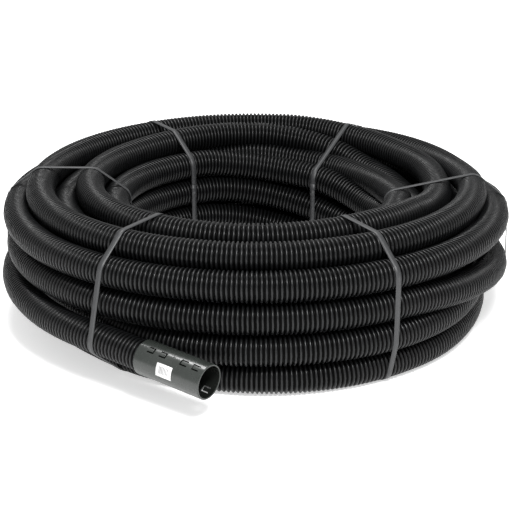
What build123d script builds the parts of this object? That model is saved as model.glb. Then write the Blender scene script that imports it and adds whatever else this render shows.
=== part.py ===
"""A strapped coil of corrugated drainage pipe, with a sleeve coupler pushed on its free end."""
import os
from math import cos, radians, sin, sqrt

from build123d import *

# Pipe, in millimetres
PIPE_OD = 63.0
PIPE_BORE = 52.0
GROOVE_OD = 55.0
RIB_PITCH = 9.1
CREST_LENGTH = 5.4
FLANK_RUN = 0.9
PIPE_R = PIPE_OD / 2
TURN_SIDES = 8

# How the turns lie in the coil: columns count inwards, rows count upwards
OUTER_COLUMN_R = 526.0
COLUMN_STEP = 54.0
ROW_STEP = 65.5
TOP_LIFT = 41.0
BOTTOM_TURN_INSET = 32.0
RECESS_TURN_INSET = 60.0

# The last turn, seen from above: it leaves the outer column and becomes the free end
TAIL_START = 159.8
TAIL_FLARE = 46.0
TAIL_SWEEP = 73.2
TAIL_DROOP = 3.5
TAIL_SEAT = 4.0
RISE_END = 268.0
RISE_TUCK = 180.0
RISE_SWEEP = 70.0
PLUG_LENGTH = 9.0
RIB_COUNT = 20

# Coupler
COUPLER_LENGTH = 158.0
COUPLER_WALL = 3.2
COUPLER_CLEARANCE = 0.3
STOP_WIDTH = 4.0
STOP_BORE = 56.0
RIM_BEVEL = 1.0
TONGUE_WIDTH = 13.0
TONGUE_SLOT = 2.8
TONGUE_ROWS = (30.0, 210.0)
SOCKET_TONGUES = (102.0, 130.0)
PIPE_TONGUES = (23.0, 52.0)
SOCKET_TONGUE_LENGTH = 17.0
PIPE_TONGUE_LENGTH = 16.0

# Straps
STRAP_WIDTH = 12.0
STRAP_THICK = 0.8
STRAP_GAP = 0.3
STRAP_ANGLES = (61.0, 122.0, 178.0, 237.0, 299.5, 358.0)
TAIL_STRAP_EASE = 2.4


def column(n):
    """Radius of the n-th column of turns, counted from the outside."""
    return OUTER_COLUMN_R - n * COLUMN_STEP


def row(n):
    """Height of the n-th row of turns, counted from the ground."""
    return PIPE_R + n * ROW_STEP


TOP_ROW = row(3) + TOP_LIFT
TAIL_ROW = row(1)

# Bends of the last turn: the free end opens wider than the coil, the rising turn tucks under it
TAIL_BEND_R = OUTER_COLUMN_R + TAIL_FLARE
RISE_BEND_R = OUTER_COLUMN_R - RISE_TUCK

# Centres of the turns that show, once round the section
TOP_TURNS = [(column(1), TOP_ROW), (column(2), row(3)), (column(3), TOP_ROW)]
BORE_TURNS = [(column(4), row(n)) for n in (3, 2, 1, 0)]
BOTTOM_TURNS = [(column(2), row(0)), (column(0) - BOTTOM_TURN_INSET, row(0))]
RECESS_TURN = (column(0) - RECESS_TURN_INSET, row(1))
OUTER_TURNS = [RECESS_TURN, (column(0), row(2)), (column(0), row(3))]
SHOWN_TURNS = TOP_TURNS + BORE_TURNS + BOTTOM_TURNS + OUTER_TURNS

# Of these, the turns at the corners of the section, which carry the straps
INNER_CORNERS = [TOP_TURNS[0], TOP_TURNS[-1], BORE_TURNS[0], BORE_TURNS[-1]]
CORNER_TURNS = INNER_CORNERS + BOTTOM_TURNS[-1:] + OUTER_TURNS[1:]


def turn(r, z, radius=PIPE_R):
    """One turn of pipe in the radial section, with few sides as there are so many turns."""
    return Pos(r, z) * RegularPolygon(radius, TURN_SIDES)


def coil_body():
    """The coil as one turned solid: the turns that show, on a plain core."""
    section = make_face(Polyline(*SHOWN_TURNS, close=True))
    for r, z in SHOWN_TURNS:
        section += turn(r, z)
    return revolve(Plane.XZ * section, Axis.Z)


def polar(radius, angle):
    return radius * cos(radians(angle)), radius * sin(radians(angle))


def tail_frame():
    """Frame where the last turn leaves the coil: x along the pipe, y towards the inside."""
    return Pos(*polar(OUTER_COLUMN_R, TAIL_START), TAIL_ROW) * Rot(0, 0, TAIL_START + 90)


def tail_end():
    """Frame where the free end turns straight, z along the pipe."""
    turned = Pos(0, TAIL_BEND_R) * Rot(0, 0, TAIL_SWEEP) * Pos(0, -TAIL_BEND_R)
    return tail_frame() * turned * Rot(0, 90 + TAIL_DROOP, 0) * Pos(0, 0, -TAIL_SEAT)


def straight_length():
    """Length of the straight free end, from its bend to the coupler's stop."""
    return PLUG_LENGTH + RIB_COUNT * RIB_PITCH


def coupler_place():
    """Frame of the coupler's rim on the pipe, z along the pipe."""
    inside = (COUPLER_LENGTH - STOP_WIDTH) / 2 - COUPLER_CLEARANCE
    return tail_end() * Pos(0, 0, straight_length() - inside)


def bend(radius, sweep, section):
    """Section bent in its own frame: starts along x at the origin and turns towards y."""
    return revolve(Plane.YZ * section, Axis((0, radius, 0), (0, 0, 1)), revolution_arc=sweep)


def about_axis(bend_r, angle, reach):
    """Start of a bend round a point that lies inside the coil, at an angle round its axis."""
    centre = Pos(*polar(OUTER_COLUMN_R - bend_r, reach), TAIL_ROW)
    return centre * Rot(0, 0, angle + 90) * Pos(0, -bend_r)


def rising_turn():
    """The last turn where it climbs out of the coil, under the free end."""
    start = RISE_END - RISE_SWEEP
    return about_axis(RISE_BEND_R, start, RISE_END) * bend(RISE_BEND_R, RISE_SWEEP, turn(0, 0))


def outer_turn():
    """The last turn round the outside of the coil."""
    sweep = TAIL_START + 360 - RISE_END
    return about_axis(OUTER_COLUMN_R, RISE_END, RISE_END) * bend(OUTER_COLUMN_R, sweep, turn(0, 0))


def free_end():
    """The last turn where it leaves the coil, before its straight open end."""
    return tail_frame() * bend(TAIL_BEND_R, TAIL_SWEEP, turn(0, 0))


def rib_points(start):
    """Outline of one corrugation, from groove to groove, along the pipe."""
    groove = GROOVE_OD / 2
    foot = (RIB_PITCH - CREST_LENGTH) / 2
    rise = foot - FLANK_RUN
    return [(groove, start + rise), (PIPE_R, start + foot), (PIPE_R, start + RIB_PITCH - foot),
            (groove, start + RIB_PITCH - rise)]


def open_end():
    """The open end with its corrugations and its real wall, turned about the pipe's axis."""
    end = straight_length()
    bore = PIPE_BORE / 2
    outline = [(0, 0), (GROOVE_OD / 2, 0)]
    for n in range(RIB_COUNT):
        outline += rib_points(PLUG_LENGTH + n * RIB_PITCH)
    outline += [(GROOVE_OD / 2, end), (bore, end), (bore, PLUG_LENGTH), (0, PLUG_LENGTH)]
    return tail_end() * revolve(Plane.XZ * make_face(Polyline(*outline, close=True)), Axis.Z)


def tongue_slot(start, length, angle, hinge):
    """C-shaped cut round a snap tongue; hinge is +1 where the tongue hangs at the far end."""
    reach = PIPE_OD
    outer = Box(reach, TONGUE_WIDTH, length, align=(Align.MIN, Align.CENTER, Align.MIN))
    tab = Box(reach, TONGUE_WIDTH - 2 * TONGUE_SLOT, length, align=(Align.MIN, Align.CENTER, Align.MIN))
    cut = outer - Pos(0, 0, hinge * TONGUE_SLOT) * tab
    return Rot(0, 0, angle) * Pos(0, 0, start) * cut


def coupler():
    """Sleeve coupler about z, with its rim on the pipe at z = 0 and its open socket at the top."""
    bore_r = PIPE_R + COUPLER_CLEARANCE
    outer_r = bore_r + COUPLER_WALL
    middle = COUPLER_LENGTH / 2
    low = middle - STOP_WIDTH / 2
    high = middle + STOP_WIDTH / 2
    outline = Polyline((bore_r, 0), (outer_r, 0), (outer_r, COUPLER_LENGTH), (bore_r, COUPLER_LENGTH),
                       (bore_r, high), (STOP_BORE / 2, high), (STOP_BORE / 2, low), (bore_r, low),
                       close=True)
    body = revolve(Plane.XZ * make_face(outline), Axis.Z)
    rims = body.edges().filter_by(GeomType.CIRCLE).filter_by(lambda e: abs(e.radius - outer_r) < 0.01)
    body = chamfer(rims, RIM_BEVEL)
    for angle in TONGUE_ROWS:
        for start in SOCKET_TONGUES:
            body -= tongue_slot(start, SOCKET_TONGUE_LENGTH, angle, 1)
        for start in PIPE_TONGUES:
            body -= tongue_slot(start, PIPE_TONGUE_LENGTH, angle, -1)
    return body


def strap_outline(turns, offset):
    """Taut outline round the turns of one section."""
    rings = [turn(r, z, size + offset).edges() for r, z, size in turns]
    return make_hull([edge for ring in rings for edge in ring])


def tail_turn(angle):
    """Where the free end crosses the radial plane at an angle: radius, height, clear radius."""
    turned = radians(angle - TAIL_START - 180)
    r = TAIL_FLARE * cos(turned) + sqrt(TAIL_BEND_R ** 2 - (TAIL_FLARE * sin(turned)) ** 2)
    return r, TAIL_ROW, PIPE_R + TAIL_STRAP_EASE


def strap(index):
    """One closed strap, drawn in the radial plane and as wide as the tape."""
    angle = STRAP_ANGLES[index]
    turns = [(r, z, PIPE_R) for r, z in CORNER_TURNS]
    round_tail = TAIL_START < angle < RISE_END
    turns.append(tail_turn(angle) if round_tail else (column(0), TAIL_ROW, PIPE_R))
    band = strap_outline(turns, STRAP_GAP + STRAP_THICK) - strap_outline(turns, STRAP_GAP)
    solid = extrude(Plane.XZ * band, STRAP_WIDTH / 2, both=True)
    return Rot(0, 0, angle) * solid


def build():
    """All nodes by name, in the coil's own frame."""
    nodes = {"coiled_pipe": coil_body() + outer_turn() + rising_turn() + free_end() + open_end()}
    nodes["coupler"] = coupler_place() * coupler()
    for index in range(len(STRAP_ANGLES)):
        nodes[f"strap_{index + 1}"] = strap(index)
    return nodes


def main():
    os.makedirs("parts", exist_ok=True)
    nodes = build()
    box = nodes["coiled_pipe"].bounding_box()
    for solid in nodes.values():
        box = box.add(solid.bounding_box())
    shift = Pos(-box.center().X, -box.center().Y, -box.min.Z)
    for name, solid in nodes.items():
        print(name, type(solid), len(solid.solids()), solid.volume / 1e9, solid.bounding_box())
        export_step(shift * solid, f"parts/{name}.step")
    print("size", box.size, "shift", shift.position)
    socket = shift * coupler_place() * Pos(0, 0, COUPLER_LENGTH)
    print("socket", socket.position, "axis", Plane(socket).z_dir)


main()
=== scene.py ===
# %% [markdown]
# # A strapped coil of corrugated drainage pipe
#
# The CAD model gives the size: a turned solid for the coil, a sleeve coupler on the free end and
# six straps. This scene dresses it. It lays one length of ribbed pipe along the real winding,
# pulls woven tape over it, and gives each plastic its own finish.
#
# The frame is loaded first, and its pieces stay in the scene; those that the dressing replaces are
# hidden.

# %% Load the frame
import math

import bmesh
import bpy
from mathutils import Matrix, Vector
from mathutils.geometry import convex_hull_2d


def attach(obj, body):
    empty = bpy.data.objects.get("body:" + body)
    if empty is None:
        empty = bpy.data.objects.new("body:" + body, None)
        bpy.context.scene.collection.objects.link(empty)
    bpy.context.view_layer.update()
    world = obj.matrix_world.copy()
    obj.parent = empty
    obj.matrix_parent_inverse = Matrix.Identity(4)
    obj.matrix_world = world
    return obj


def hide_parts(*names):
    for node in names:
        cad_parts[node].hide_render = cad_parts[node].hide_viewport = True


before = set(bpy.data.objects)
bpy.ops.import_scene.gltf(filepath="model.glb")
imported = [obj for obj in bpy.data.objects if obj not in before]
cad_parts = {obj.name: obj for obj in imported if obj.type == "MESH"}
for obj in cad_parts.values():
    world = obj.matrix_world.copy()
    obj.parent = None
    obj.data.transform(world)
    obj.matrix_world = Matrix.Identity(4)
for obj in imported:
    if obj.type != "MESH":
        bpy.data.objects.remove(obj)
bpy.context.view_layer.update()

# %% [markdown]
# ## The numbers that the pieces share
#
# The pipe is 63 mm outside. Everything about the winding is told in pipe diameters, because that
# is how a coil is packed: turns lie beside and on each other one diameter apart. The coil's axis
# stands a little behind the frame's origin, since the free end makes the box longer in front. The
# straps pass under the coil, so its lowest turns lie one strap and its play above the ground.

# %% Sizes of the pipe and the place of the coil
PIPE_D = 0.063
CREST_R = PIPE_D / 2
GROOVE_R = 0.0275
RIB_PITCH = 0.0091
COIL_X = 0.002259
COIL_Y = 0.051875
GROUND_GAP = 0.0011


def coil_point(radius, azimuth, height):
    """A point of the coil from radius and height in pipe diameters and azimuth in degrees."""
    turn = math.radians(azimuth)
    x = COIL_X + radius * PIPE_D * math.cos(turn)
    y = COIL_Y + radius * PIPE_D * math.sin(turn)
    return Vector((x, y, GROUND_GAP + height * PIPE_D))


print("ribs in a metre of pipe", round(1 / RIB_PITCH))

# %% [markdown]
# ## The winding
#
# A coiler lays the pipe turn by turn, and each turn climbs, drops or steps sideways to its next
# place within one sector, here at the back on the right. Each entry below is one knot of the
# winding: azimuth in degrees, then radius and height in pipe diameters. The azimuths run on round
# the coil, so a knot with a smaller azimuth than the one before it belongs to the next time round.
#
# The hidden turns lie where a close packing leaves room for them. Nobody can see them in the
# photograph, so their order is a guess. The turns that show follow its ridges, read one by one.
# One picture can't tell both the radius and the height of a ridge, so one of the two was taken
# from the packing.

# %% Turns inside the coil and along its foot
winding = {
    "core_start": [(190, 6.64, 1.54), (5, 6.64, 1.54), (40, 6.64, 0.50), (5, 6.64, 0.50)],
    "bottom": [
        (45, 7.75, 0.50), (150, 7.70, 0.50), (205, 7.32, 0.50), (225, 7.38, 0.50),
        (245, 7.72, 0.50), (280, 8.12, 0.50), (310, 7.95, 0.50), (345, 7.62, 0.50),
        (5, 7.60, 0.50),
    ],
    "second": [
        (45, 7.35, 1.54), (215, 7.35, 1.54), (228, 7.42, 1.54), (238, 7.78, 1.54),
        (248, 8.09, 1.54), (258, 8.28, 1.54), (270, 8.34, 1.54), (298, 8.32, 1.54),
        (315, 8.15, 1.54), (330, 7.90, 1.54), (345, 7.60, 1.54), (0, 7.45, 1.60),
    ],
    "core_outer": [
        (45, 7.42, 2.44), (5, 7.45, 2.44), (50, 7.45, 3.35), (340, 7.45, 3.35), (85, 7.45, 3.30),
    ],
    "core_inner": [
        (115, 6.64, 2.58), (5, 6.64, 2.58), (60, 6.20, 2.75), (115, 5.78, 3.05),
        (315, 5.78, 3.05), (350, 5.78, 2.06), (315, 5.78, 2.06), (350, 5.78, 1.02),
        (320, 5.78, 1.02),
    ],
}
print("knots at the foot and inside", sum(len(run) for run in winding.values()))

# %% Turns of the inner wall, and the step back from its top into the valley
winding["inner_wall"] = [
    (50, 4.92, 0.50), (40, 4.92, 0.50), (122, 4.92, 1.53), (28, 4.92, 1.53), (115, 4.92, 2.57),
    (30, 4.92, 2.57), (46, 4.92, 2.80), (55, 4.92, 2.98), (62, 4.92, 3.08), (80, 4.92, 3.24),
    (98, 4.92, 3.45), (116, 4.92, 3.62),
]
winding["step_back"] = [
    (350, 4.92, 3.62), (0, 5.02, 3.57), (20, 5.12, 3.38), (36, 5.30, 3.34), (47, 5.50, 3.32),
    (56, 5.68, 3.32), (66, 5.78, 3.33), (74, 5.78, 3.37), (89, 5.80, 3.50), (105, 5.90, 3.40),
    (118, 6.20, 3.30), (135, 6.60, 3.55),
]
winding["valley"] = [(150, 6.64, 3.62), (310, 6.64, 3.62), (330, 6.50, 3.35), (345, 6.25, 3.05)]
print("knots up to the valley", sum(len(run) for run in winding.values()))

# %% Turns over the top
winding["top_inner"] = [
    (0, 5.95, 2.95), (15, 5.90, 2.95), (27, 6.00, 3.02), (36, 6.15, 3.13), (45, 6.30, 3.22),
    (53, 6.40, 3.42), (61, 6.45, 3.70), (69, 6.45, 3.89), (76, 6.40, 4.04), (89, 6.30, 4.20),
    (105, 6.20, 4.25), (125, 5.95, 4.25), (145, 5.80, 4.25), (305, 5.78, 4.25),
]
winding["top_outer"] = [
    (330, 5.88, 4.12), (345, 6.10, 3.95), (0, 6.38, 3.87), (12, 6.55, 3.93), (22, 6.75, 3.94),
    (32, 6.90, 3.98), (42, 7.05, 4.01), (52, 7.25, 4.06), (62, 7.40, 4.12), (71, 7.50, 4.19),
    (80, 7.52, 4.25), (95, 7.55, 4.25), (130, 7.50, 4.25), (180, 7.50, 4.25), (320, 7.50, 4.25),
]
print("knots up to the top", sum(len(run) for run in winding.values()))

# %% Turns down the outside
winding["shoulder"] = [
    (342, 7.50, 4.22), (0, 7.55, 4.14), (12, 7.60, 4.02), (22, 7.70, 3.95), (32, 7.82, 3.93),
    (42, 7.96, 3.90), (52, 8.14, 3.85), (62, 8.28, 3.80), (72, 8.34, 3.72), (90, 8.34, 3.62),
    (180, 8.30, 3.62), (225, 8.34, 3.62), (335, 8.34, 3.62),
]
winding["middle"] = [
    (0, 8.30, 3.50), (15, 8.30, 3.30), (30, 8.33, 2.98), (50, 8.34, 2.62), (80, 8.34, 2.58),
    (180, 8.22, 2.58), (240, 8.34, 2.58), (300, 8.34, 2.58),
]
winding["last"] = [
    (330, 8.34, 2.20), (350, 8.34, 1.82), (5, 8.34, 1.65), (25, 8.34, 1.54), (60, 8.35, 1.54),
    (159.8, 8.35, 1.54),
]
print("knots in all", sum(len(run) for run in winding.values()))

# %% [markdown]
# ## A smooth line through the knots
#
# A pipe this stiff takes no corner, so the line between two knots is a smooth blend. Its slope at
# a knot is a mean of the slopes on both sides, and it is level where the pipe holds its place,
# which keeps the line from overshooting into its neighbours.

# %% Knots in one row, with an angle that runs on
knots = []
run_start = {}
angle = 0.0
for name, run in winding.items():
    for azimuth, radius, height in run:
        while azimuth <= angle:
            azimuth += 360
        run_start.setdefault(name, azimuth)
        knots.append((azimuth, radius, height))
        angle = azimuth
FIRST_ANGLE = knots[0][0]
WOUND_ANGLE = knots[-1][0] - FIRST_ANGLE
print("turns", round(WOUND_ANGLE / 360, 2))


# %% Slopes at the knots
def slopes(column):
    """Slope at each knot for one column, level where the column turns round or holds."""
    steps = [(b[column] - a[column]) / (b[0] - a[0]) for a, b in zip(knots, knots[1:])]
    inner = [2 * m * n / (m + n) if m * n > 0 else 0.0 for m, n in zip(steps, steps[1:])]
    return [0.0] + inner + [0.0]


RADIUS_SLOPES = slopes(1)
HEIGHT_SLOPES = slopes(2)
print("knots where the height holds", HEIGHT_SLOPES.count(0.0))


# %% The blend between two knots
def blend(left, right, slope_left, slope_right, width, t):
    """Cubic blend from left to right over a width, at t from 0 to 1."""
    stay = (1 + 2 * t) * (1 - t) ** 2 * left + t * t * (3 - 2 * t) * right
    return stay + width * (t * (1 - t) ** 2 * slope_left - t * t * (1 - t) * slope_right)


def winding_point(angle):
    """Where the pipe is at an angle along the winding."""
    n = max(i for i in range(len(knots) - 1) if knots[i][0] <= angle + 1e-6)
    a, b = knots[n], knots[n + 1]
    width = b[0] - a[0]
    t = min((angle - a[0]) / width, 1.0)
    radius = blend(a[1], b[1], RADIUS_SLOPES[n], RADIUS_SLOPES[n + 1], width, t)
    height = blend(a[2], b[2], HEIGHT_SLOPES[n], HEIGHT_SLOPES[n + 1], width, t)
    return coil_point(radius, angle, height)


print("winding starts at", [round(v, 4) for v in winding_point(FIRST_ANGLE)])

# %% [markdown]
# ## The line that the pipe follows
#
# One line carries the whole length, with a point about every three degrees, so the ribs run on
# without a seam from turn to turn. After the last knot the pipe leaves the coil in a wider bend,
# and runs straight and slightly down into the coupler.

# %% Points round the coil
STEP = 3.0
point_count = int(WOUND_ANGLE / STEP)
angles = [FIRST_ANGLE + n * WOUND_ANGLE / point_count for n in range(point_count + 1)]
pipe_line = [winding_point(angle) for angle in angles]
print("points round the coil", len(pipe_line))

# %% Points of the bend that leaves the coil
TAIL_START = 159.8
TAIL_BEND_R = 0.572
TAIL_SWEEP = 73.2
start = math.radians(TAIL_START)
outwards = Vector((math.cos(start), math.sin(start), 0))
centre = pipe_line[-1] - outwards * TAIL_BEND_R
bend_points = int(TAIL_SWEEP / STEP)
for n in range(1, bend_points + 1):
    a = start + math.radians(n * TAIL_SWEEP / bend_points)
    pipe_line.append(centre + TAIL_BEND_R * Vector((math.cos(a), math.sin(a), 0)))
bend_end = pipe_line[-1].copy()
print("bend ends at", [round(v, 4) for v in bend_end])

# %% Points of the straight free end
TAIL_DROOP = 3.5
STRAIGHT_LENGTH = 0.1868
STRAIGHT_PARTS = 8
end = start + math.radians(TAIL_SWEEP)
droop = math.radians(TAIL_DROOP)
PIPE_AXIS = Vector((-math.sin(end) * math.cos(droop), math.cos(end) * math.cos(droop),
                    -math.sin(droop)))
for n in range(1, STRAIGHT_PARTS + 1):
    pipe_line.append(bend_end + PIPE_AXIS * STRAIGHT_LENGTH * n / STRAIGHT_PARTS)
print("pipe ends at", [round(v, 4) for v in pipe_line[-1]])

# %% How far along the line each angle lies
distance = [0.0]
for before, here in zip(pipe_line, pipe_line[1:]):
    distance.append(distance[-1] + (here - before).length)


def along(angle):
    """Distance along the pipe at an angle of the winding."""
    place = (angle - angles[0]) / (angles[1] - angles[0])
    return distance[min(max(round(place), 0), len(angles) - 1)]


print("pipe length", round(distance[-1], 2), "m, ribs", int(distance[-1] / RIB_PITCH))


# %% A helper curve for the modifiers to follow
def in_scene(name, data):
    """An object for a mesh, curve, lamp or camera, put in the scene."""
    thing = bpy.data.objects.new(name, data)
    bpy.context.scene.collection.objects.link(thing)
    return thing


def pipe_route(points):
    """A curve through the points, which is removed once the pipe is laid on it."""
    data = bpy.data.curves.new("pipe_route", "CURVE")
    data.dimensions = "3D"
    data.twist_mode = "Z_UP"
    spline = data.splines.new("POLY")
    spline.points.add(len(points) - 1)
    for target, point in zip(spline.points, points):
        target.co = (*point, 1)
    return in_scene("pipe_route", data)


route = pipe_route(pipe_line)
print("points of the route", len(route.data.splines[0].points))

# %% [markdown]
# ## Ribs
#
# The wall is blown into a mould block, which leaves a crest with sloping shoulders, a steep foot
# and a groove. One corrugation is a profile of a few points spun round the pipe's axis. An Array
# modifier repeats it and a Curve modifier bends the row along the route, so no rib is placed by
# hand. Turns that stay hidden inside the coil need only a plain tube.
#
# Each point of the mesh also carries a value, "crest", from 0 in the groove to 1 on the crest,
# raised to a power so that it stays low on the flanks. The finish of the pipe reads it later to
# paint shade into the grooves and on their flanks.


# %% From a shape to a finished mesh
def smooth_mesh(name, shape):
    """Closes a bmesh as a smooth-shaded mesh."""
    for face in shape.faces:
        face.smooth = True
    mesh = bpy.data.meshes.new(name)
    shape.to_mesh(mesh)
    shape.free()
    return mesh


# Painted shade: how far the darker groove colour reaches up the flanks of each rib.
GROOVE_SHADE_POWER = 2.5


def spun_tube(name, profile, sides):
    """A tube about X from a profile of (x, radius), open at both ends."""
    shape = bmesh.new()
    points = [shape.verts.new((x, 0, r)) for x, r in profile]
    edges = [shape.edges.new(pair) for pair in zip(points, points[1:])]
    bmesh.ops.spin(shape, geom=points + edges, cent=(0, 0, 0), axis=(1, 0, 0),
                   angle=math.tau, steps=sides, use_merge=True)
    bmesh.ops.recalc_face_normals(shape, faces=shape.faces)
    outer = max(shape.faces, key=lambda face: face.calc_center_median().z)
    if outer.normal.z < 0:
        bmesh.ops.reverse_faces(shape, faces=shape.faces)
    # The crest value, which the pipe's finish uses to paint shade into the grooves and on the
    # flanks.
    crest = shape.verts.layers.float.new("crest")
    for vertex in shape.verts:
        rise = (math.hypot(vertex.co.y, vertex.co.z) - GROOVE_R) / (CREST_R - GROOVE_R)
        vertex[crest] = max(rise, 0.0) ** GROOVE_SHADE_POWER
    return smooth_mesh(name, shape)


# %% One corrugation, and a length of plain tube
RIB_SIDES = 16
SHOULDER_R = 0.0302
RIB_START = 0.0014
PROFILE = [
    (RIB_START, GROOVE_R), (0.0022, SHOULDER_R), (0.0036, CREST_R), (0.0055, CREST_R),
    (0.0069, SHOULDER_R), (0.0077, GROOVE_R), (RIB_START + RIB_PITCH, GROOVE_R),
]
PLAIN_PITCH = 0.036
PLAIN_SIDES = 12
rib_mesh = spun_tube("rib", PROFILE, RIB_SIDES)
plain_mesh = spun_tube("plain", [(0.0, GROOVE_R), (PLAIN_PITCH, GROOVE_R)], PLAIN_SIDES)
print("faces in a rib", len(rib_mesh.polygons), "and in a plain length", len(plain_mesh.polygons))

# %% Laying a length of tube on the route
MERGE_GAP = 0.0001


def laid_pipe(name, unit, pitch, begin, end):
    """A length of the pipe from begin to end along the route, as one finished mesh."""
    mesh = unit.copy()
    first = math.ceil(begin / pitch)
    mesh.transform(Matrix.Translation((first * pitch, 0, 0)))
    piece = in_scene(name, mesh)
    array = piece.modifiers.new("repeat", "ARRAY")
    array.use_relative_offset = False
    array.use_constant_offset = True
    array.constant_offset_displace = (pitch, 0, 0)
    array.count = math.ceil(end / pitch) - first
    array.use_merge_vertices = True
    array.merge_threshold = MERGE_GAP
    follow = piece.modifiers.new("follow", "CURVE")
    follow.object = route
    follow.deform_axis = "POS_X"
    bpy.context.view_layer.update()
    laid = piece.evaluated_get(bpy.context.evaluated_depsgraph_get())
    finished = bpy.data.meshes.new_from_object(laid)
    finished.name = name
    piece.modifiers.clear()
    piece.data = finished
    print(name, "triangles", sum(len(p.vertices) - 2 for p in finished.polygons))
    return piece


# %% The turns that show, with their ribs
def stretch(first, after_first, last, after_last):
    """Where a piece begins and ends: degrees after the start of one run and of another."""
    return along(run_start[first] + after_first), along(run_start[last] + after_last)


RIBBED = {
    "pipe_bottom": ("bottom", -45, "second", 0),
    "pipe_second": ("second", 0, "core_outer", 0),
    "pipe_outer_high": ("core_outer", 640, "core_inner", 30),
    "pipe_inner_low": ("inner_wall", 0, "inner_wall", 800),
    "pipe_inner_high": ("inner_wall", 800, "step_back", 0),
    "pipe_valley": ("step_back", 0, "top_inner", 0),
    "pipe_top_inner": ("top_inner", 0, "top_outer", 0),
    "pipe_top_outer": ("top_outer", 0, "shoulder", 0),
    "pipe_shoulder": ("shoulder", 0, "middle", 0),
    "pipe_middle": ("middle", 0, "last", 0),
}
pipe_pieces = []
for name, ends in RIBBED.items():
    pipe_pieces.append(laid_pipe(name, rib_mesh, RIB_PITCH, *stretch(*ends)))
last_start = along(run_start["last"])
pipe_pieces.append(laid_pipe("pipe_last", rib_mesh, RIB_PITCH, last_start, distance[-1]))

# %% The turns inside the coil, as plain tube
HIDDEN = {
    "pipe_core_start": ("core_start", 0, "bottom", -40),
    "pipe_core_outer": ("core_outer", -5, "core_outer", 645),
    "pipe_core_inner": ("core_inner", 25, "inner_wall", 5),
}
for name, ends in HIDDEN.items():
    pipe_pieces.append(laid_pipe(name, plain_mesh, PLAIN_PITCH, *stretch(*ends)))

# %% [markdown]
# ## The bore inside the free end
#
# Such pipe has a smooth inner wall under its ribs, and a look into the coupler meets it. The lining
# is a short tube with the end face of the wall, spun like a rib and turned inside out, so that its
# faces look at whoever looks into the pipe.

# %% Lining of the free end
BORE_R = 0.026
BORE_SIDES = 36
BORE_START = 0.03
LINING = [(BORE_START, BORE_R), (STRAIGHT_LENGTH, BORE_R), (STRAIGHT_LENGTH, GROOVE_R)]
bore_mesh = spun_tube("pipe_bore", LINING, BORE_SIDES)
lining = bmesh.new()
lining.from_mesh(bore_mesh)
bmesh.ops.reverse_faces(lining, faces=lining.faces)
lining.to_mesh(bore_mesh)
lining.free()
turned = PIPE_AXIS.to_track_quat("X", "Z").to_matrix().to_4x4()
bore_mesh.transform(Matrix.Translation(bend_end) @ turned)
pipe_pieces.append(in_scene("pipe_bore", bore_mesh))
print("bore lining faces", len(bore_mesh.polygons))

# %% [markdown]
# ## The finish of the pipe
#
# Black polyethylene is dark, but not flat: the mould leaves a satin skin. The colour reads the
# value that the corrugation carries and paints shade into the grooves and on their flanks: a
# darker colour and a weaker reflection there, as if little light reached them. Noise in Object
# coordinates breaks the colour up. Those coordinates are in metres and stay with the piece, so
# the grain has the same size on every turn.


# %% Helpers for shaders
def grey(value):
    """A neutral colour."""
    return (value, value, value)


def shader(name, colour, roughness, specular=0.5):
    """A new material with its shader's plain values set."""
    material = bpy.data.materials.new(name)
    material.use_nodes = True
    body = material.node_tree.nodes["Principled BSDF"]
    body.inputs["Base Color"].default_value = (*colour, 1)
    body.inputs["Roughness"].default_value = roughness
    body.inputs["Specular IOR Level"].default_value = specular
    return material, material.node_tree, body


def value_of(tree, name):
    """A value that the mesh carries."""
    node = tree.nodes.new("ShaderNodeAttribute")
    node.attribute_name = name
    return node.outputs["Fac"]


def noise(tree, scale, detail=3.0, roughness=0.5):
    """Noise that reads Object coordinates."""
    place = tree.nodes.new("ShaderNodeTexCoord")
    texture = tree.nodes.new("ShaderNodeTexNoise")
    texture.inputs["Scale"].default_value = scale
    texture.inputs["Detail"].default_value = detail
    texture.inputs["Roughness"].default_value = roughness
    tree.links.new(place.outputs["Object"], texture.inputs["Vector"])
    return texture.outputs["Fac"]


def ramp(tree, source, low, high, low_at=0.3, high_at=0.7):
    """A colour that runs from low to high as a source passes between two values."""
    node = tree.nodes.new("ShaderNodeValToRGB")
    for element, position, colour in zip(node.color_ramp.elements, (low_at, high_at), (low, high)):
        element.position = position
        element.color = (*colour, 1)
    tree.links.new(source, node.inputs["Fac"])
    return node.outputs["Color"]


def mixed(tree, factor, low, high):
    """Mixes two colours by a factor, all three taken from sockets."""
    node = tree.nodes.new("ShaderNodeMix")
    node.data_type = "RGBA"
    tree.links.new(factor, node.inputs[0])
    tree.links.new(low, node.inputs[6])
    tree.links.new(high, node.inputs[7])
    return node.outputs[2]


def bump(tree, body, source, strength, depth):
    """Relief from a source on the shader's normal."""
    node = tree.nodes.new("ShaderNodeBump")
    node.inputs["Strength"].default_value = strength
    node.inputs["Distance"].default_value = depth
    tree.links.new(source, node.inputs["Height"])
    tree.links.new(node.outputs["Normal"], body.inputs["Normal"])


# %% Black polyethylene
pipe_black, tree, body = shader("pipe_black", grey(0.004), 0.34)
rise = value_of(tree, "crest")
cloud = noise(tree, 7.0, 5.0, 0.6)
# Painted shade: the grooves and flanks take a darker colour than the crests.
groove_painted_shade = ramp(tree, cloud, grey(0.0012), grey(0.0020))
crest_tint = ramp(tree, cloud, (0.0046, 0.0049, 0.0053), (0.0086, 0.0090, 0.0095))
tree.links.new(mixed(tree, rise, groove_painted_shade, crest_tint), body.inputs["Base Color"])
shine = ramp(tree, noise(tree, 55.0, 3.0), grey(0.27), grey(0.40))
tree.links.new(shine, body.inputs["Roughness"])
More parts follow.
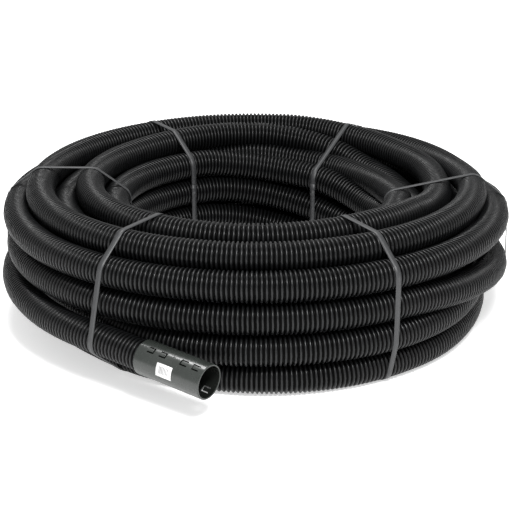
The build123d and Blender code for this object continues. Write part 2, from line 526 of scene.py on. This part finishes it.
# Painted shade: the grooves and flanks reflect less than the crests, as if little light reached
# them.
gloss_and_groove_shade = ramp(tree, rise, grey(0.03), grey(0.27), 0.1, 0.9)
tree.links.new(gloss_and_groove_shade, body.inputs["Specular IOR Level"])
bump(tree, body, noise(tree, 900.0, 2.0), 0.08, 0.0002)
print(pipe_black.name, "nodes", len(tree.nodes))


# %% The pipe's pieces get their finish
def dress(piece, material, slot, *replaced):
    """Gives a piece its material and its body, and hides the CAD nodes that it replaces. The slot
    is not used.
    """
    piece.data.materials.clear()
    piece.data.materials.append(material)
    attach(piece, "root")
    if replaced:
        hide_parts(*replaced)


for piece in pipe_pieces:
    dress(piece, pipe_black, "pipe", "coiled_pipe")
bpy.data.objects.remove(route)
print("pieces of pipe", len(pipe_pieces))

# %% [markdown]
# ## Straps
#
# The coil is held by six loops of woven tape. Each is pulled tight, so in its own plane it follows
# the outline of the turns it touches and runs straight across the gaps between them. That is the
# convex hull of the turns' circles. The tape is drawn along the hull and given its width, and a
# Solidify modifier gives it its thickness. A short end is welded over it inside the bore.

# %% Where the straps sit
STRAP_ANGLES = (61.0, 122.0, 178.0, 237.0, 299.5, 358.0)


def turns_at(azimuth):
    """Centres of the turns that a radial plane cuts, as (radius, height) in metres."""
    plane = math.radians(azimuth)
    across = Vector((-math.sin(plane), math.cos(plane), 0))
    out = Vector((math.cos(plane), math.sin(plane), 0))
    origin = Vector((COIL_X, COIL_Y, 0))
    cuts = []
    for a, b in zip(pipe_line, pipe_line[1:]):
        da, db = (a - origin).dot(across), (b - origin).dot(across)
        if (da <= 0 < db or db <= 0 < da) and (a - origin).dot(out) > 0:
            hit = a.lerp(b, da / (da - db)) - origin
            cuts.append((hit.dot(out), hit.z))
    return cuts


print("turns under each strap", [len(turns_at(azimuth)) for azimuth in STRAP_ANGLES])

# %% The taut line of a strap
STRAP_GAP = 0.0003
CIRCLE_POINTS = 48


def strap_path(azimuth):
    """The taut line round the turns, as points (radius, height)."""
    clear = CREST_R + STRAP_GAP
    ring = []
    for r, z in turns_at(azimuth):
        for n in range(CIRCLE_POINTS):
            a = math.tau * n / CIRCLE_POINTS
            ring.append(Vector((r + clear * math.cos(a), z + clear * math.sin(a))))
    return [ring[i] for i in convex_hull_2d(ring)]


print("points of each line", [len(strap_path(azimuth)) for azimuth in STRAP_ANGLES])

# %% Tape along a line
STRAP_WIDTH = 0.012
STRAP_THICK = 0.0008


def thickened(piece, thickness):
    """Gives a sheet its thickness, outwards from its faces."""
    wall = piece.modifiers.new("thickness", "SOLIDIFY")
    wall.thickness = thickness
    wall.offset = 1.0
    return piece


def tape(name, azimuth, line, closed):
    """Tape along a line in a radial plane: an edge chain, extruded to the tape's width."""
    shape = bmesh.new()
    chain = [shape.verts.new((p.x, -STRAP_WIDTH / 2, p.y)) for p in line]
    edges = [shape.edges.new(pair) for pair in zip(chain, chain[1:])]
    if closed:
        edges.append(shape.edges.new((chain[-1], chain[0])))
    made = bmesh.ops.extrude_edge_only(shape, edges=edges)
    moved = [v for v in made["geom"] if isinstance(v, bmesh.types.BMVert)]
    bmesh.ops.translate(shape, vec=(0, STRAP_WIDTH, 0), verts=moved)
    bmesh.ops.recalc_face_normals(shape, faces=shape.faces)
    inner = min(shape.faces, key=lambda face: face.calc_center_median().x)
    if inner.normal.x > 0:
        bmesh.ops.reverse_faces(shape, faces=shape.faces)
    turned = Matrix.Rotation(math.radians(azimuth), 3, "Z")
    bmesh.ops.rotate(shape, cent=(0, 0, 0), matrix=turned, verts=shape.verts)
    bmesh.ops.translate(shape, vec=(COIL_X, COIL_Y, 0), verts=shape.verts)
    return thickened(in_scene(name, smooth_mesh(name, shape)), STRAP_THICK)


# %% Finish of the tape
strap_grey, tree, body = shader("strap_grey", grey(0.05), 0.45)
weave = noise(tree, 1400.0, 2.0)
tint = ramp(tree, weave, (0.020, 0.021, 0.022), (0.038, 0.039, 0.041), 0.35, 0.65)
tree.links.new(tint, body.inputs["Base Color"])
bump(tree, body, weave, 0.35, 0.0003)
print(strap_grey.name, "nodes", len(tree.nodes))

# %% The six straps
WELD_TOP = 0.19
WELD_LENGTH = 0.03
for number, azimuth in enumerate(STRAP_ANGLES, 1):
    line = strap_path(azimuth)
    side = min(p.x for p in line) - STRAP_THICK
    weld = [Vector((side, WELD_TOP)), Vector((side, WELD_TOP - WELD_LENGTH))]
    for piece in (tape(f"strap_tape_{number}", azimuth, line, True),
                  tape(f"strap_weld_{number}", azimuth, weld, False)):
        dress(piece, strap_grey, "strap", f"strap_{number}")
    print("strap", number, "line points", len(line))

# %% [markdown]
# ## Coupler
#
# The coupler is an injection moulding, smoother and greyer than the pipe. Its sleeve, with the
# slots round its snap tongues, comes from the CAD model, so it needs its finish here and the small
# things that sit on it: lips on the tongues, two pips near the middle, and a paper label.
#
# Places on the coupler are given as a distance from its rim on the pipe, and an angle from the top
# towards the outside.

# %% A frame on the coupler
COUPLER_R = 0.035
COUPLER_LENGTH = 0.158
STOP_WIDTH = 0.004
mouth_from_stop = COUPLER_LENGTH / 2 + STOP_WIDTH / 2
rim = bend_end + PIPE_AXIS * (STRAIGHT_LENGTH + mouth_from_stop - COUPLER_LENGTH)
UPWARDS = (Vector((0, 0, 1)) - PIPE_AXIS * PIPE_AXIS.z).normalized()
OUTSIDE = PIPE_AXIS.cross(UPWARDS)
if OUTSIDE.y > 0:
    OUTSIDE = -OUTSIDE
print("coupler rim at", [round(v, 4) for v in rim])


def on_coupler(from_rim, angle, lift=0.0):
    """A point on the coupler's surface, with the way out from its axis."""
    turn = math.radians(angle)
    out = UPWARDS * math.cos(turn) + OUTSIDE * math.sin(turn)
    return rim + PIPE_AXIS * from_rim + out * (COUPLER_R + lift), out


# %% [markdown]
# The outside of the sleeve is polished by the mould. Its bore and the cut walls of the tongues get
# painted shade: a darker colour and a weaker reflection, as if little light reached them. The node
# that the CAD model gives is one mesh for all of these, so the shader works out how far each point
# is from the coupler's axis. It gives the outside's colour to the skin and to both rims.


# %% Helpers that work out a value in a shader
def maths(tree, operation, first, second):
    """One step of arithmetic between a socket and a socket or a number."""
    node = tree.nodes.new("ShaderNodeMath")
    node.operation = operation
    tree.links.new(first, node.inputs[0])
    if isinstance(second, float):
        node.inputs[1].default_value = second
    else:
        tree.links.new(second, node.inputs[1])
    return node.outputs[0]


def vectors(tree, operation, first, second):
    """One step of arithmetic between a vector socket and a fixed vector."""
    node = tree.nodes.new("ShaderNodeVectorMath")
    node.operation = operation
    tree.links.new(first, node.inputs[0])
    node.inputs[1].default_value = second
    return node.outputs["Value" if operation in ("LENGTH", "DOT_PRODUCT") else "Vector"]


def place_on_coupler(tree):
    """Distance from the coupler's axis, and from its middle along the axis, in metres."""
    here = tree.nodes.new("ShaderNodeTexCoord").outputs["Object"]
    away = vectors(tree, "SUBTRACT", here, rim + PIPE_AXIS * COUPLER_LENGTH / 2)
    across = vectors(tree, "CROSS_PRODUCT", away, PIPE_AXIS)
    along_axis = vectors(tree, "DOT_PRODUCT", away, PIPE_AXIS)
    return vectors(tree, "LENGTH", across, (0, 0, 0)), maths(tree, "ABSOLUTE", along_axis, 0.0)


# %% Grey moulded plastic
SKIN_DEPTH = 0.0013
RIM_DEPTH = 0.0008
coupler_grey, tree, body = shader("coupler_grey", (0.03, 0.034, 0.031), 0.26)
cloud = noise(tree, 16.0, 4.0)
skin_tint = ramp(tree, cloud, (0.021, 0.0245, 0.022), (0.030, 0.034, 0.031))
# Painted shade: the bore and the tongues' cut walls take a much darker colour.
bore_painted_shade = ramp(tree, cloud, (0.006, 0.007, 0.006), (0.010, 0.011, 0.010))
from_axis, from_middle = place_on_coupler(tree)
at_rim = maths(tree, "GREATER_THAN", from_middle, COUPLER_LENGTH / 2 - RIM_DEPTH)
at_skin = maths(tree, "GREATER_THAN", from_axis, COUPLER_R - SKIN_DEPTH)
outside = maths(tree, "MAXIMUM", at_skin, at_rim)
tree.links.new(mixed(tree, outside, bore_painted_shade, skin_tint), body.inputs["Base Color"])
shine = ramp(tree, noise(tree, 120.0, 3.0), grey(0.20), grey(0.30))
tree.links.new(shine, body.inputs["Roughness"])
# Painted shade: the bore and the cut walls reflect less than the outside.
gloss_and_bore_shade = ramp(tree, outside, grey(0.15), grey(0.5), 0.2, 0.8)
tree.links.new(gloss_and_bore_shade, body.inputs["Specular IOR Level"])
bump(tree, body, noise(tree, 600.0, 2.0), 0.06, 0.0002)
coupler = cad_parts["coupler"]
coupler.data.materials.clear()
coupler.data.materials.append(coupler_grey)
print(coupler_grey.name, "nodes", len(tree.nodes))

# %% [markdown]
# ## Lips and pips
#
# Each snap tongue over the pipe has a low lip across its free end, on the outside of the sleeve. A
# lip is a cube brought to size, bevelled, and turned to lie on the tongue. Two pips near the middle
# show where the pipe stops. They are small balls, sunk to half their height.

# %% Lips on the snap tongues
LIP_SIZE = (0.0022, 0.0075, 0.0010)
LIP_EDGE = 0.0003
LIP_LIFT = 0.0002
LIP_PLACES = (0.0355, 0.0645)
TONGUE_ROWS = (30.0, 210.0)


def lip(name, from_rim, angle):
    """A bevelled bar across the free end of a snap tongue."""
    place, out = on_coupler(from_rim, angle, LIP_LIFT)
    turned = Matrix((PIPE_AXIS, PIPE_AXIS.cross(out), out)).transposed()
    shape = bmesh.new()
    bmesh.ops.create_cube(shape, size=1)
    bmesh.ops.scale(shape, vec=LIP_SIZE, verts=shape.verts)
    bmesh.ops.bevel(shape, geom=shape.edges[:], offset=LIP_EDGE, segments=2, affect="EDGES",
                    profile=0.5, material=-1)
    bmesh.ops.rotate(shape, cent=(0, 0, 0), matrix=turned, verts=shape.verts)
    bmesh.ops.translate(shape, vec=place, verts=shape.verts)
    return in_scene(name, smooth_mesh(name, shape))


for row, angle in enumerate(TONGUE_ROWS, 1):
    for number, from_rim in enumerate(LIP_PLACES, 1):
        dress(lip(f"tongue_lip_{row}_{number}", from_rim, angle), coupler_grey, "coupler")
print("lips", len(TONGUE_ROWS) * len(LIP_PLACES))

# %% Pips near the middle
PIP_R = 0.0013
PIP_PLACE = 0.084
PIP_ANGLES = (23.0, 33.0)
for number, angle in enumerate(PIP_ANGLES, 1):
    place, out = on_coupler(PIP_PLACE, angle)
    shape = bmesh.new()
    bmesh.ops.create_icosphere(shape, subdivisions=2, radius=PIP_R)
    bmesh.ops.translate(shape, vec=place, verts=shape.verts)
    pip = in_scene(f"pip_{number}", smooth_mesh(f"pip_{number}", shape))
    dress(pip, coupler_grey, "coupler")
print("pips", len(PIP_ANGLES))

# %% [markdown]
# ## Label
#
# A small paper label is stuck on the side of the coupler. It is a straight edge swept round the
# coupler's axis, so it follows the plastic exactly. Its points carry their place on the paper,
# from 0 to 1 across and down, for the print to read.

# %% Paper swept round the coupler
LABEL_FROM, LABEL_TO = 0.057, 0.094
LABEL_TOP, LABEL_BOTTOM = 58.0, 101.0
LABEL_LIFT = 0.00015
LABEL_STEPS = 14
PAPER_THICK = 0.00012
shape = bmesh.new()
near, _ = on_coupler(LABEL_FROM, LABEL_TOP, LABEL_LIFT)
far, _ = on_coupler(LABEL_TO, LABEL_TOP, LABEL_LIFT)
side = [shape.verts.new(near), shape.verts.new(far)]
edge = shape.edges.new(side)
sweep = math.radians(LABEL_BOTTOM - LABEL_TOP)
sign = 1 if PIPE_AXIS.dot(UPWARDS.cross(OUTSIDE)) > 0 else -1
bmesh.ops.spin(shape, geom=side + [edge], cent=rim, axis=PIPE_AXIS * sign, angle=sweep,
               steps=LABEL_STEPS)
bmesh.ops.recalc_face_normals(shape, faces=shape.faces)


def out_from_axis(point):
    """Distance of a point along the coupler, and its way out from the axis."""
    away = point - rim
    from_rim = away.dot(PIPE_AXIS)
    return from_rim, away - PIPE_AXIS * from_rim


middle = shape.faces[:][len(shape.faces) // 2]
if middle.normal.dot(out_from_axis(middle.calc_center_median())[1]) < 0:
    bmesh.ops.reverse_faces(shape, faces=shape.faces)
across = shape.verts.layers.float.new("across")
down = shape.verts.layers.float.new("down")
for vertex in shape.verts:
    from_rim, out = out_from_axis(vertex.co)
    angle = math.degrees(math.atan2(out.dot(OUTSIDE), out.dot(UPWARDS)))
    vertex[across] = (from_rim - LABEL_FROM) / (LABEL_TO - LABEL_FROM)
    vertex[down] = (angle - LABEL_TOP) / (LABEL_BOTTOM - LABEL_TOP)
label = thickened(in_scene("label", smooth_mesh("label", shape)), PAPER_THICK)
print("label faces", len(label.data.polygons))

# %% [markdown]
# The print is only a block of plain bars, so the label says nothing. A bar is where the fraction
# of a repeated count is small, and a window keeps the bars off the paper's edges.

# %% Print on the label
BAR_COUNT = 11.0
BAR_INK = 0.55


def between(tree, value, low, high):
    """1 where a value lies between two numbers, and 0 elsewhere."""
    above = maths(tree, "GREATER_THAN", value, low)
    return maths(tree, "MULTIPLY", above, maths(tree, "LESS_THAN", value, high))


label_paper, tree, body = shader("label_paper", grey(0.75), 0.55)
x, y = value_of(tree, "across"), value_of(tree, "down")
bars = maths(tree, "FRACT", maths(tree, "MULTIPLY", x, BAR_COUNT), 0.0)
window = maths(tree, "MULTIPLY", between(tree, x, 0.2, 0.80), between(tree, y, 0.2, 0.75))
ink = maths(tree, "MULTIPLY", maths(tree, "LESS_THAN", bars, BAR_INK), window)
paper = noise(tree, 800.0, 2.0)
white = ramp(tree, paper, grey(0.70), grey(0.82))
black = ramp(tree, paper, grey(0.10), grey(0.16))
tree.links.new(mixed(tree, ink, white, black), body.inputs["Base Color"])
dress(label, label_paper, "coupler")
print(label_paper.name, "nodes", len(tree.nodes))

# %% [markdown]
# ## Floor and light
#
# The photograph is a studio shot on white: light comes from everywhere, and a little more from
# above. A pale floor that glows a little, a bright sky and two soft lamps give the same. A third
# lamp, weak and low in front, stands for the light that the white table throws at the coupler.

# %% Floor
ground = bmesh.new()
bmesh.ops.create_grid(ground, x_segments=1, y_segments=1, size=30)
floor = in_scene("floor", smooth_mesh("floor", ground))
floor_white, tree, body = shader("floor_white", grey(0.9), 0.9, 0.1)
body.inputs["Emission Color"].default_value = (1, 1, 1, 1)
body.inputs["Emission Strength"].default_value = 0.5
floor.data.materials.append(floor_white)
print("floor at height", floor.location.z)

# %% Sky
world = bpy.data.worlds.new("studio")
bpy.context.scene.world = world
world.use_nodes = True
sky = world.node_tree.nodes["Background"]
sky.inputs["Color"].default_value = (1, 1, 1, 1)
sky.inputs["Strength"].default_value = 0.66
print("sky strength", round(sky.inputs["Strength"].default_value, 2))


# %% Lamps
def soft_lamp(name, place, aim, size, power):
    """A square lamp that looks at a point."""
    light = bpy.data.lights.new(name, "AREA")
    light.size = size
    light.energy = power
    lamp = in_scene(name, light)
    lamp.location = place
    lamp.rotation_euler = (Vector(aim) - Vector(place)).to_track_quat("-Z", "Y").to_euler()
    print(name, "lamp", power, "W")


soft_lamp("key", (0.5, -1.9, 2.4), (0, 0, 0.1), 0.7, 82)
soft_lamp("top", (-0.7, 0.9, 2.8), (0, 0, 0.1), 0.9, 48)
soft_lamp("low", (-0.75, -1.7, 0.3), (-0.2, -0.5, 0.1), 0.6, 5)

# %% [markdown]
# ## Camera
#
# The ellipses of the turns tell how steeply the photographer looked down, and how much smaller the
# back of the coil is than its front tells how far away they stood. Both were measured in the
# photograph. The camera looks along the frame's Y axis, at about half the coil's height.

# %% Camera at the photograph's angle
CAMERA_DISTANCE = 54.33 * PIPE_D
CAMERA_TILT = math.radians(19.62)
AIM_HEIGHT = 2.3 * PIPE_D
camera_data = bpy.data.cameras.new("camera")
camera_data.lens = 107.5
camera_data.sensor_width = 36
camera_data.shift_y = -0.04
camera_data.clip_end = 100
camera = in_scene("camera", camera_data)
aim = Vector((COIL_X, COIL_Y, GROUND_GAP + AIM_HEIGHT))
back = Vector((0, -math.cos(CAMERA_TILT), math.sin(CAMERA_TILT)))
camera.location = aim + back * CAMERA_DISTANCE
camera.rotation_euler = (-back).to_track_quat("-Z", "Y").to_euler()
bpy.context.scene.camera = camera
bpy.context.scene.view_settings.view_transform = "Standard"
print("camera at", [round(v, 3) for v in camera.location])
